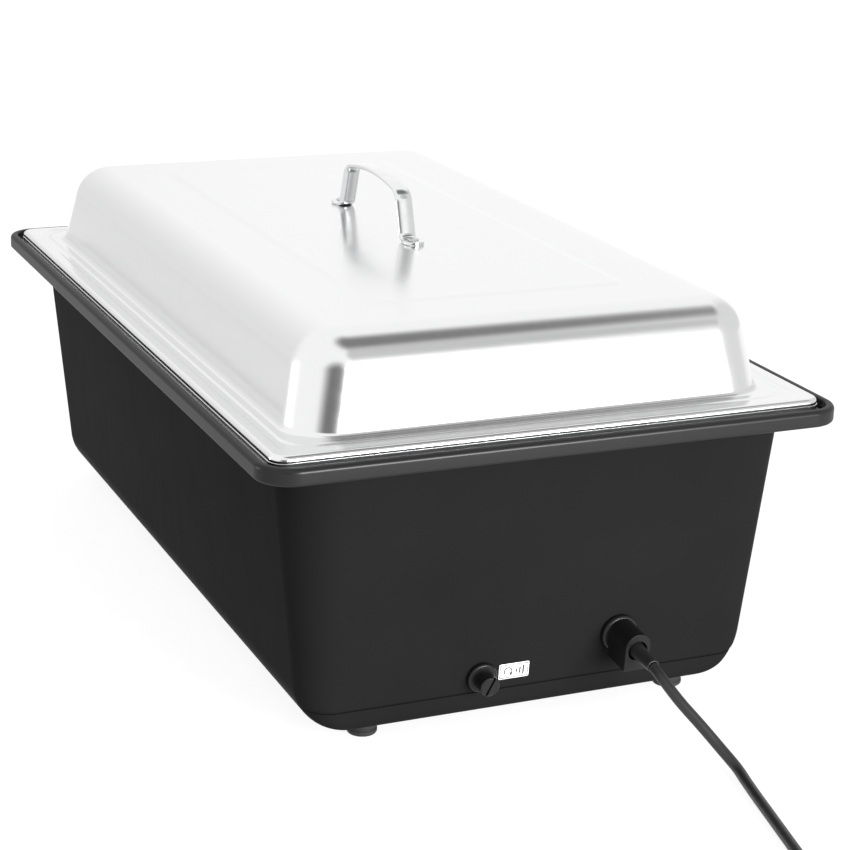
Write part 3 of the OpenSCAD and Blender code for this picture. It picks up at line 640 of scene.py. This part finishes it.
def make_tub():
    steps = 16
    inside = [FLOOR_Z + WALL + (SIDE_BASE_R - WALL) * (i / 12) ** 2 for i in range(13)]
    opening = (400, 180)
    hole = [ring(opening, 0, 1, z, steps) for z in (FLOOR_Z + WALL, FLOOR_Z)]
    inner = [wall_ring(z, WALL) for z in [SHELF_Z] + inside[::-1]]
    bm = bmesh.new()
    skin(bm, hole + tub_outside() + rings(RIM, rim_profile(), steps) + inner, closed=True)
    boss_r, boss_h, hole_r = 8, 10, 2.2
    boss = [(hole_r, boss_h), (hole_r, 0), (boss_r, 0), (boss_r, boss_h), (hole_r, boss_h)]
    for place in foot_places(FLOOR_Z):
        lathe(bm, boss, place, 40)
    piece = finish_mesh(bm, "tub_shell", "base", "black_plastic", sharp=50, weighted=True)
    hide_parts("housing")


def foot_places(z):
    return [
        Matrix.Translation((sx * FOOT_X, sy * FOOT_Y, z)) for sx in (-1, 1) for sy in (-1, 1)
    ]


def make_feet():
    """Round rubber feet with a groove round the waist and a recess for the screw."""
    names = ("foot_front_right", "foot_front_left", "foot_back_right", "foot_back_left")
    outline = [
        (4.2, 3.4, 1), (4.2, 0, 0), (7.9, 0, 0), (8.5, 0.9, 0), (8.5, 2.7, 0), (7.7, 3.1, 0),
        (7.7, 4.1, 0), (8.5, 4.5, 0), (8.5, 7, 0), (2.1, 7, 1), (2.1, 3.4, 1), (4.2, 3.4, 1),
    ]
    for name, place in zip(names, foot_places(0)):
        turned(name + "_rubber", outline, place, "base", "foot_rubber", 0.35, [name])


# ---- Steel pans ----


def pressed_pan(name, node, body, slot, size, top, base_z, neck, slope, turn_down):
    """A pressed pan with a flat flange, its sides leaning in and a rounded bottom edge."""
    edge_r, corner_r = 11.2, 32
    edge_z = base_z + edge_r + SHEET
    lean = atan(slope)

    def side_in(z):
        return neck + slope * (top - z)

    edge_in = side_in(edge_z) + edge_r / cos(lean)
    lean_deg = 180 + lean * 180 / pi
    bend_r = 3
    flange = [(0, top - turn_down, 9), (0, top - 0.8, 9), (0.25, top - 0.25, 8.8), (0.8, top, 8.4)]
    bend_line = arc(neck - bend_r + 1, top - bend_r, bend_r, 90, 8, 6)
    bend = [(inset, z, corner_r - 1) for inset, z in bend_line]
    wall = [(side_in(z), z, corner_r) for z in (top - 8, edge_z + 8)]
    foot = with_radius(arc(edge_in, edge_z, edge_r, lean_deg, 270, 10), side_in(edge_z), corner_r)
    inner = flange[1:] + [(neck - 6, top, 26)] + bend + wall + foot
    outer = thickened(inner, -SHEET)
    bm = bmesh.new()
    skin(bm, rings(size, list(reversed(inner)) + flange[:1] + outer[1:]))
    piece = finish_mesh(bm, name, body, slot, sharp=50, weighted=True)
    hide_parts(node)


def make_pans():
    pan_depth = 65
    pressed_pan(
        "food_pan_pressing", "food_pan", "pan", "pan_steel", PAN, PAN_TOP, PAN_TOP - pan_depth,
        neck=20.3, slope=0.125, turn_down=4,
    )
    pressed_pan(
        "water_tank_pressing", "water_tank", "base", "tank_steel", TANK, TANK_TOP, tank_low[2],
        neck=19.8, slope=TAPER, turn_down=SHEET,
    )


# ---- Lid ----


def lid_profile():
    """Outer profile of the lid, from the bottom of its hem to the middle of its top."""
    dome_in, slope, lid_r, dome_r = 20.5, 0.2, 24, 27
    lean = atan(slope)
    lean_deg = lean * 180 / pi
    low, inner_top = FLANGE_TOP - 0.9, FLANGE_TOP - 0.25
    hem_r, hem_corner = 2.8, 9
    hem_line = arc(hem_r, FLANGE_TOP - hem_r, hem_r, 180, 90, 6)
    hem = with_radius([(0.3, PAN_TOP), (0, PAN_TOP + 0.5)] + hem_line, 0, hem_corner)
    rim_end, channel_start, channel_end, foot_start = 7.6, 9.8, 12.6, 14.6
    step = [(rim_end, FLANGE_TOP)]
    step += s_curve((rim_end, FLANGE_TOP), (channel_start, low), 6)
    step += [(channel_end, low)]
    step += s_curve((channel_end, low), (foot_start, inner_top), 6)
    foot_r = 3.6
    foot_z = inner_top + foot_r
    foot_in = dome_in + slope * (foot_z - FLANGE_TOP) - foot_r / cos(lean)
    foot = arc(foot_in, foot_z, foot_r, 270, 360 - lean_deg, 8)
    flange = [(inset, z, hem_corner + (inset - 7) * 1.35) for inset, z in step]
    flare = [(inset, z, dome_r - 1 + (inset - foot_in) * 0.2) for inset, z in foot]
    top_z = LID_TOP - lid_r
    touch_in = dome_in + slope * (top_z + lid_r * sin(lean) - FLANGE_TOP)
    centre_in = touch_in + lid_r * cos(lean)
    shoulder = [
        (inset, z, max(dome_r - (inset - touch_in), 5))
        for inset, z in arc(centre_in, top_z, lid_r, 180 - lean_deg, 90, 18)
    ]
    panel_in = 84
    panel = [(panel_in - 3, LID_TOP, 6)] + [
        (inset, z, 6 - 0.3 * (inset - panel_in))
        for inset, z in s_curve((panel_in - 3, LID_TOP), (panel_in + 4, LID_TOP + PANEL_H), 8)
    ]
    return hem + flange + flare + shoulder + panel


def make_lid():
    outer = lid_profile()
    inner = thickened(outer, SHEET)
    bm = bmesh.new()
    skin(bm, rings(PAN, list(reversed(inner)) + outer, 18))
    piece = finish_mesh(bm, "lid_pressing", "lid", "lid_steel", sharp=60, weighted=True)
    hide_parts("lid_shell")


STRAP_W = 10.5
SPOON_R = (STRAP_W + 3) / 2
STRAP_T = 2.5
RIVET_X = 59


def handle_path():
    """Half of the strap's centreline as (x, height): tab, bend, leg, shoulder and crown."""
    tab_x, bend_r, shoulder_r, height = 54, 5, 10, 33.2
    leg_deg, crown_deg = 72, 12
    z0 = STRAP_T / 2
    foot = arc(-tab_x, z0 + bend_r, bend_r, 270, 270 + leg_deg, 10)
    knee = foot[-1]
    leg_c, leg_s = cos(radians(leg_deg)), sin(radians(leg_deg))
    crown_c, crown_s = cos(radians(crown_deg)), sin(radians(crown_deg))

    def crown_top(leg):
        x = knee[0] + leg * leg_c + shoulder_r * (leg_s - crown_s)
        z = knee[1] + leg * leg_s + shoulder_r * (crown_c - leg_c)
        return x, z - x * (1 - crown_c) / crown_s

    leg = (height - crown_top(0)[1]) / (crown_top(1)[1] - crown_top(0)[1])
    start_x, start_z = knee[0] + leg * leg_c, knee[1] + leg * leg_s
    centre = (start_x + shoulder_r * leg_s, start_z - shoulder_r * leg_c)
    shoulder = arc(*centre, shoulder_r, 90 + leg_deg, 90 + crown_deg, 14)
    crown_r = -crown_top(leg)[0] / crown_s
    crown = arc(0, height - crown_r, crown_r, 90 + crown_deg, 90, 12)[1:]
    tab = [(-RIVET_X - SPOON_R * cos(radians(a)), z0) for a in range(6, 90, 7)]
    tab += [(-RIVET_X + 0.5 * i, z0) for i in range(8)]
    return tab + foot + shoulder + crown


def strap_section(width):
    """Cross-section of the strap as (across, out): crowned outside, flat inside, round edges."""
    edge = min(1, width * 0.3)
    half, low = width / 2, -STRAP_T / 2
    crown = 0.55 * min(1, width / STRAP_W)
    count = 9
    outer = []
    for i in range(count):
        t = -1 + 2 * i / (count - 1)
        outer.append((t * (half - edge * 0.5), STRAP_T / 2 - crown * t * t))
    right = [(half, STRAP_T / 2 - crown - edge * 0.5), (half, low + edge * 0.6)]
    under = [(half - edge * 0.6, low), (0, low), (-half + edge * 0.6, low)]
    left = [(-half, low + edge * 0.6), (-half, STRAP_T / 2 - crown - edge * 0.5)]
    return outer + right + under + left


def make_handle():
    half = handle_path()
    path = half + [(-x, z) for x, z in reversed(half[:-1])]
    seat = LID_TOP + PANEL_H
    neck_x, neck_l = 53, 5
    bm = bmesh.new()
    loops = []
    last = len(path) - 1
    for i, (x, z) in enumerate(path):
        a, b = path[max(i - 1, 0)], path[min(i + 1, last)]
        d = Vector((b[0] - a[0], b[1] - a[1])).normalized()
        out = Vector((-d.y, d.x))
        from_rivet = abs(x) - RIVET_X
        width = STRAP_W
        if z < STRAP_T:
            spoon = max(SPOON_R**2 - max(from_rivet, 0) ** 2, 0.25) ** 0.5 * 2
            blend = min(max((abs(x) - neck_x) / neck_l, 0), 1)
            width = spoon if from_rivet > 0 else STRAP_W + (2 * SPOON_R - STRAP_W) * blend
        section = strap_section(width)
        loops.append([(x + out.x * o, w, seat + z + out.y * o) for w, o in section])
    skin(bm, loops)
    piece = finish_mesh(bm, "handle_strap", "lid", "handle_chrome", sharp=55)
    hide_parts("lid_handle")
    make_rivets(seat)


def make_rivets(seat):
    """Rivets with a domed head over each tab and a second one under the lid."""
    bm = bmesh.new()
    head_r, head_h, stem_r = 3.6, 1.2, 2
    grip = SHEET + STRAP_T
    for x in (-RIVET_X, RIVET_X):
        place = Matrix.Translation((x, 0, seat - SHEET))
        turns = [radians(a) for a in range(0, 90, 10)]
        dome = [(head_r * cos(a), grip + head_h * sin(a)) for a in turns]
        under = [(r, grip - z) for r, z in dome]
        stem = [(stem_r, 0), (stem_r, grip)]
        outline = [(0, -head_h)] + under[::-1] + stem + dome + [(0, grip + head_h)]
        lathe(bm, outline, place, 40)
    piece = finish_mesh(bm, "rivet_heads", "lid", "zinc_steel")
    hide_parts("handle_rivets")


def symbol_plate(bm, place, points, low, high):
    """A thin flat shape with the given outline, between two heights above a wall."""
    skin(bm, [[place @ Vector((x, y, z)) for x, y in points] for z in (low, high)])


# ---- Control end ----


KNOB_R = 22
KNOB_Z = 3.4
KNOB_H = 18
DIAL_T = 0.8


def make_knob():
    """Skirt with fine ribs, and a grip bar with a white pointer line."""
    place = on_control_wall(0, CONTROL_Z)
    bm = bmesh.new()
    ribs, skirt_h, grip_w, groove_in = 36, 5, 11, 0.45
    count = ribs * 4
    profile = rounded(
        [(3.1, KNOB_Z, 1), (KNOB_R, KNOB_Z, 0), (KNOB_R - 0.8, KNOB_Z + skirt_h, 0),
         (3, KNOB_Z + skirt_h + 0.6, 1)], 1.1
    )
    rows = []
    for r, z in profile:
        row = []
        for i in range(count):
            at_rib = i % 4 == 0 and r > KNOB_R - 1.2
            here = r - groove_in if at_rib else r
            a = 2 * pi * i / count
            row.append(bm.verts.new(place @ Vector((here * cos(a), here * sin(a), z))))
        rows.append(row)
    for a, b in zip(rows, rows[1:]):
        for i in range(count):
            j = (i + 1) % count
            bm.faces.new((a[i], a[j], b[j], b[i]))
    bm.faces.new(rows[0])
    bm.faces.new(rows[-1])
    top = KNOB_Z + KNOB_H
    levels = [(KNOB_Z + 4, 0), (top - 2, 0.5), (top - 0.7, 1.1), (top, 2.4)]
    loops = []
    for z, inset in levels:
        outline = ring((2 * KNOB_R - 5, grip_w), inset, 5.2 - inset, z, 8)
        loops.append([place @ Vector(p) for p in outline])
    skin(bm, loops)
    piece = finish_mesh(bm, "knob_moulding", "control_knob", "knob_plastic", sharp=40)
    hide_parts("knob")
    bm = bmesh.new()
    line_size, line_x = (9, 1.6), 11
    line = [ring(line_size, 0, 0.7, z, 5) for z in (top - 0.2, top + 0.08)]
    skin(bm, [[place @ Vector((x + line_x, y, z)) for x, y, z in loop] for loop in line])
    finish_mesh(bm, "knob_pointer", "control_knob", "print_white")


def make_dial():
    """Ticks and temperature numbers round the knob."""
    place = on_control_wall(0, CONTROL_Z)
    marks = 10
    sweep = 270
    tick_r, tick_w, number_r, number_h = 23.6, 0.5, 29.2, 4.4
    bm = bmesh.new()
    for i in range(marks):
        a = radians(sweep * i / (marks - 1))
        turn = Matrix.Rotation(a, 4, "Z")
        length = 3 if i % 3 == 0 else 1.8
        low, high, half = tick_r, tick_r + length, tick_w / 2
        corners = [(low, -half), (high, -half), (high, half), (low, half)]
        symbol_plate(bm, place @ turn, corners, DIAL_T - 0.1, DIAL_T + 0.06)
    finish_mesh(bm, "dial_ticks", "base", "print_black")
    for i, text in enumerate(("0", "30", "60", "90")):
        font = bpy.data.curves.new("dial_number_" + text, "FONT")
        font.body = text
        font.size = number_h * MM
        font.extrude = 0.04 * MM
        font.align_x = "CENTER"
        font.align_y = "CENTER"
        number = new_object("dial_number_" + text, font, "base", "print_black")
        a = radians(sweep * i / 3)
        at = place @ Vector((number_r * cos(a), number_r * sin(a), DIAL_T + 0.05))
        upright = place.to_3x3().to_4x4() @ Matrix.Rotation(radians(-90), 4, "Z")
        number.matrix_world = Matrix.Translation(at * MM) @ upright


def make_control_end():
    make_knob()
    make_dial()
    lamp = on_control_wall(LAMP_Y, CONTROL_Z)
    bezel = [(5.9, -24, 1), (8.5, 0, 1), (8.5, 3, 0), (6.9, 3.4, 0), (6.1, 2, 1), (6.1, 1, 1)]
    turned("lamp_bezel", bezel, lamp, "base", "fitting_plastic", 0.6, ["lamp_body"])
    cover = [(0, 1, 1), (6, 1, 1), (6, 4, 1), (5.4, 5.3, 0), (3.6, 5.9, 0), (0, 6, 1)]
    turned("lamp_cover", cover, lamp, "base", "lamp_amber", 1.2, ["lamp_lens"])


# ---- Cord end ----


def make_reset():
    """The ring nut and the slotted cap, with their edges rounded."""
    rounded_copy("reset_nut", "reset_ring", "base", "fitting_plastic", 0.35)
    rounded_copy("reset_cap", "reset_cap_moulding", "screw_cap", "fitting_plastic", 0.3)


def make_label():
    """White film printed with a frame, a ring arrow and three bars, in place of lettering."""
    place = on_cord_wall(LABEL_Y, LABEL_Z)
    low, high = 0.2, 0.34
    bm = bmesh.new()
    film_size, film_r = (9.4, 18.4), 0.9
    levels = ((0, 0), (0, 0.22), (0.12, 0.3))
    loops = [ring(film_size, inset, film_r, z, 5) for inset, z in levels]
    skin(bm, [[place @ Vector(p) for p in loop] for loop in loops])
    film = finish_mesh(bm, "label_film", "base", "label_white")
    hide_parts("reset_label")
    bm = bmesh.new()
    width = 0.45
    half = (3.9, 8.4)
    for side_x, side_y in ((0, 1), (0, -1), (1, 0), (-1, 0)):
        centre = (side_x * half[0], side_y * half[1])
        size = (half[0] + width / 2, width / 2) if side_y else (width / 2, half[1] + width / 2)
        corners = [(-1, -1), (1, -1), (1, 1), (-1, 1)]
        outline = [(centre[0] + size[0] * u, centre[1] + size[1] * v) for u, v in corners]
        symbol_plate(bm, place, outline, low, high)
    ring_y, ring_r, stroke = -3.6, 2.3, 0.65
    gap = 40
    outer = arc(0, ring_y, ring_r + stroke / 2, gap, 360 - gap, 24)
    inner = arc(0, ring_y, ring_r - stroke / 2, 360 - gap, gap, 24)
    symbol_plate(bm, place, outer + inner, low, high)
    x, y = ring_r * cos(radians(gap)), ring_y + ring_r * sin(radians(gap))
    head = [(x - 1.2, y - 0.5), (x + 1.2, y + 0.1), (x - 0.5, y + 1.5)]
    symbol_plate(bm, place, head, low, high)
    bar_w = 0.9
    for i in range(3):
        bar, y = 1.1 + 0.9 * i, 1.2 + 2 * i
        outline = [(-bar, y), (bar, y), (bar, y + bar_w), (-bar, y + bar_w)]
        symbol_plate(bm, place, outline, low, high)
    finish_mesh(bm, "label_print", "base", "print_black")


def make_gland():
    """The gland and its clamp with rounded edges, and the tapered relief, which is returned."""
    rounded_copy("gland_body", "gland_flange", "base", "fitting_plastic", 0.4)
    rounded_copy("cord_clamp", "clamp_block", "base", "fitting_plastic", 0.7, 3)
    place = on_cord_wall(GLAND_Y, GLAND_Z)
    outline = [
        (3.1, 9, 1), (5.6, 9, 1), (5.6, 14, 0), (4.4, 24, 0), (3.75, 38, 0), (3.6, 42, 0),
        (3.05, 42.1, 1),
    ]
    return turned("strain_relief", outline, place, "base", "cord_pvc", 1.2, ["cord_boot"])


# ---- Mains lead ----


def coil_route():
    """The coil's line: inwards on the lower layer, up, and outwards on the upper layer."""
    per_turn = 40
    rise = ENTRY_DEG / 360
    flat = (COIL_OUT - COIL_IN) / CORD_D
    total = 2 * flat + rise
    count = ceil(total * per_turn)
    route = []
    for i in range(count + 1):
        turn = total * i / count
        lift = min(max((turn - flat) / rise, 0), 1)
        soft = lift * lift * (3 - 2 * lift)
        r = COIL_IN + CORD_D * max(flat - turn, turn - flat - rise, 0)
        a = radians(ENTRY_DEG - 360 * turn)
        route.append((COIL_AT[0] + r * cos(a), COIL_AT[1] + r * sin(a), COIL_Z + CORD_D * soft))
    return route


def smoothed(route, pieces=6):
    """Points of a smooth curve through every point of the route."""
    points = [Vector(p) for p in route]
    line = []
    for i in range(len(points) - 1):
        a, b = points[max(i - 1, 0)], points[i]
        c, d = points[i + 1], points[min(i + 2, len(points) - 1)]
        for k in range(pieces):
            t = k / pieces
            line.append(
                b * (2 * t**3 - 3 * t * t + 1) + (c - a) * 0.5 * (t**3 - 2 * t * t + t)
                + c * (3 * t * t - 2 * t**3) + (d - b) * 0.5 * (t**3 - t * t)
            )
    return line + [points[-1]]


def make_lead(boot):
    coil = coil_route()
    into = smoothed(RUN_ROUTE + coil[:1])
    away = smoothed(coil[-1:] + TAIL_ROUTE)
    line = into[:-1] + [Vector(p) for p in coil[:-1]] + away
    curve = bpy.data.curves.new("mains_lead", "CURVE")
    curve.dimensions = "3D"
    curve.bevel_depth = CORD_D / 2 * MM
    curve.bevel_resolution = 5
    curve.use_fill_caps = True
    spline = curve.splines.new("POLY")
    spline.points.add(len(line) - 1)
    for point, place in zip(spline.points, line):
        point.co = (*(place * MM), 1)
    spline.use_smooth = True
    lead = new_object("mains_lead", curve, "base", "cord_pvc")
    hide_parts("cord_run", "cord_coil", "cord_tail")
    plug = make_plug()


def make_plug():
    """Moulded two-pole plug: ribbed neck, grip waist and a flat face round the pins."""
    place = frame_at(PLUG_AT, (0, -1, 0), (1, 0, 0))
    outline = [(3, 0, 1), (4.2, 0, 0)]
    for i in range(4):
        z, grow = 2 + 3 * i, 0.3 * i
        rib = ((4.4, 0), (3.7, 0.4), (3.7, 1.2), (4.5, 1.6))
        outline += [(r + grow, z + up, 0) for r, up in rib]
    outline += [
        (5.8, 14.5, 0), (9, 17, 0), (12, 22, 0), (17.5, 28, 0), (19, 32, 0), (18.4, 36, 0),
        (19, 40, 0), (19, 44, 0), (0, 44, 1),
    ]
    return turned("plug_moulding", outline, place, "base", "plug_plastic", 0.7, ["plug_body"])


# ---- Floor and light ----


def make_floor():
    """A pale sheet whose glow fades towards -Y."""
    size = 6
    bm = bmesh.new()
    bmesh.ops.create_grid(bm, x_segments=1, y_segments=1, size=size)
    mesh = bpy.data.meshes.new("floor")
    bm.to_mesh(mesh)
    bm.free()
    floor = bpy.data.objects.new("floor", mesh)
    scene.collection.objects.link(floor)
    material, tree, shader = start("floor_paper")
    fleck = noise(tree, 60, detail=3)
    paper = tones(tree, fleck, (0.2, 0.2, 0.2), (0.22, 0.22, 0.22))
    tree.links.new(paper, shader.inputs["Base Color"])
    shader.inputs["Roughness"].default_value = 0.9
    shader.inputs["Specular IOR Level"].default_value = 0.1
    shader.inputs["Emission Color"].default_value = (1, 1, 1, 1)
    glow = spread(tree, coordinate(tree, "Y"), 0.6, 0.87, -0.7, -0.33)
    tree.links.new(glow, shader.inputs["Emission Strength"])
    mesh.materials.append(material)


def softbox(name, at, towards, size, power):
    """A rectangular light at one point, aimed at another."""
    data = bpy.data.lights.new(name, "AREA")
    data.shape = "RECTANGLE"
    data.size, data.size_y = size
    data.energy = power
    light = bpy.data.objects.new(name, data)
    scene.collection.objects.link(light)
    away = Vector(at) - Vector(towards)
    light.matrix_world = Matrix.Translation(at) @ away.to_track_quat("Z", "Y").to_matrix().to_4x4()


def flag(tree, direction, low, high, dark):
    """Falls from 1 to dark towards a direction, between two cosines of the angle from it."""
    where = tree.nodes.new("ShaderNodeTexCoord")
    dot = tree.nodes.new("ShaderNodeVectorMath")
    dot.operation = "DOT_PRODUCT"
    dot.inputs[1].default_value = Vector(direction).normalized()
    tree.links.new(where.outputs["Generated"], dot.inputs[0])
    return spread(tree, dot.outputs["Value"], 1, dark, low, high)


def make_world():
    """A white studio: a dark opening in front, two dark flags overhead and two grey sides."""
    world = bpy.data.worlds.new("studio")
    scene.world = world
    world.use_nodes = True
    tree = world.node_tree
    background = tree.nodes["Background"]
    shade = flag(tree, (0.92, -0.31, 0.1), 0.84, 0.97, 0.15)
    for other in (
        flag(tree, (0.1, 0.3, 0.95), 0.91, 0.985, 0.2),
        flag(tree, (0.6, 0.36, 0.72), 0.965, 0.99, 0.6),
        flag(tree, (0.2, 0.97, 0.1), 0.53, 0.72, 0.75),
        flag(tree, (-0.93, -0.3, -0.1), 0.75, 0.97, 0.8),
    ):
        product = tree.nodes.new("ShaderNodeMath")
        product.operation = "MULTIPLY"
        tree.links.new(shade, product.inputs[0])
        tree.links.new(other, product.inputs[1])
        shade = product.outputs["Value"]
    tree.links.new(shade, background.inputs["Color"])
    background.inputs["Strength"].default_value = 1.06


def make_light():
    make_world()
    softbox("right_light", (1.6, 0.4, 0.35), (0.2, 0, 0.15), (0.7, 0.6), 36)
    softbox("corner_light", (-0.6, -1.37, 0.13), (0.25, -0.14, 0.1), (0.14, 0.3), 3)


scene.view_settings.view_transform = "Standard"
make_camera()
finish_cad_nodes()
make_lead(make_gland())
make_tub()
make_feet()
make_pans()
make_lid()
make_handle()
make_control_end()
make_reset()
make_label()
make_floor()
make_light()
